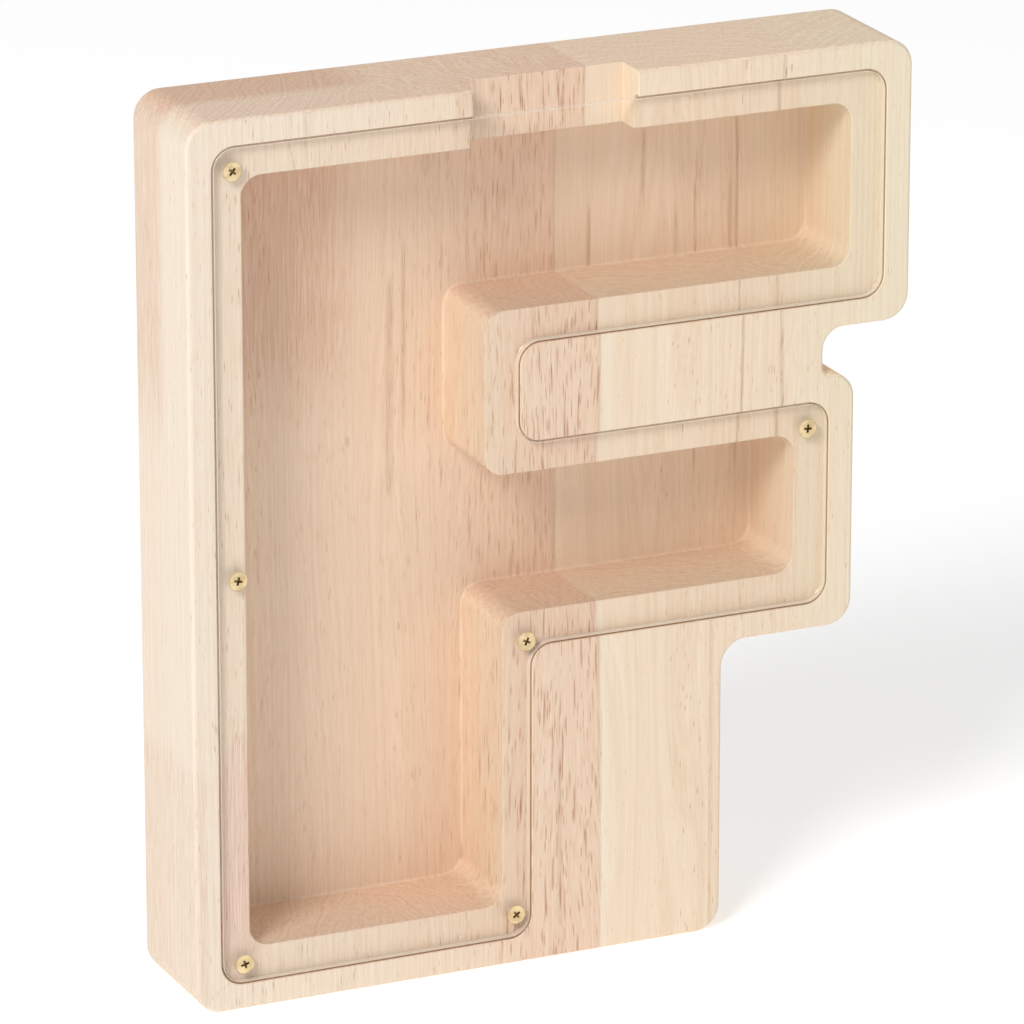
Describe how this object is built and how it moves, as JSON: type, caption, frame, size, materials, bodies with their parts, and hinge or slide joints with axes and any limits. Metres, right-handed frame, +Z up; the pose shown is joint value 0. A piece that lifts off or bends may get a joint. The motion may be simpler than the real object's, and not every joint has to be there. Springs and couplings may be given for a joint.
{
  "type": "letter money box",
  "caption": "Free-standing wooden letter F money box with a routed hollow, clear screwed-on front panel and a coin slot in the top edge.",
  "frame": {"origin": "middle of the box's outline seen from above, on the surface that it stands on", "axes": "+X to the right as the letter is read, +Y from the clear front to the back, +Z up"},
  "size_m": [0.17, 0.03, 0.2],
  "materials": {
    "wood": "satin oiled hardwood, straight vertical grain, end grain on level faces",
    "clear_acrylic": "clear polished sheet",
    "brass": "bright, slightly tarnished in the recess"
  },
  "bodies": {
    "case": {"stave_1": "wood", "stave_2": "wood", "stave_3": "wood", "stave_4": "wood"},
    "panel": {"panel": "clear_acrylic"},
    "screw_top_left": {"screw_top_left": "brass"},
    "screw_mid_left": {"screw_mid_left": "brass"},
    "screw_foot_left": {"screw_foot_left": "brass"},
    "screw_foot_right": {"screw_foot_right": "brass"},
    "screw_inner_corner": {"screw_inner_corner": "brass"},
    "screw_mid_arm": {"screw_mid_arm": "brass"}
  },
  "joints": [
    {"name": "panel_lift", "type": "slide", "parent": "case", "child": "panel", "axis": [0, -1, 0], "range_m": [0, 0.04]},
    {"name": "screw_top_left_draw", "type": "slide", "parent": "panel", "child": "screw_top_left", "axis": [0, -1, 0], "range_m": [0, 0.016]},
    {"name": "screw_mid_left_draw", "type": "slide", "parent": "panel", "child": "screw_mid_left", "axis": [0, -1, 0], "range_m": [0, 0.016]},
    {"name": "screw_foot_left_draw", "type": "slide", "parent": "panel", "child": "screw_foot_left", "axis": [0, -1, 0], "range_m": [0, 0.016]},
    {"name": "screw_foot_right_draw", "type": "slide", "parent": "panel", "child": "screw_foot_right", "axis": [0, -1, 0], "range_m": [0, 0.016]},
    {"name": "screw_inner_corner_draw", "type": "slide", "parent": "panel", "child": "screw_inner_corner", "axis": [0, -1, 0], "range_m": [0, 0.016]},
    {"name": "screw_mid_arm_draw", "type": "slide", "parent": "panel", "child": "screw_mid_arm", "axis": [0, -1, 0], "range_m": [0, 0.016]}
  ]
}
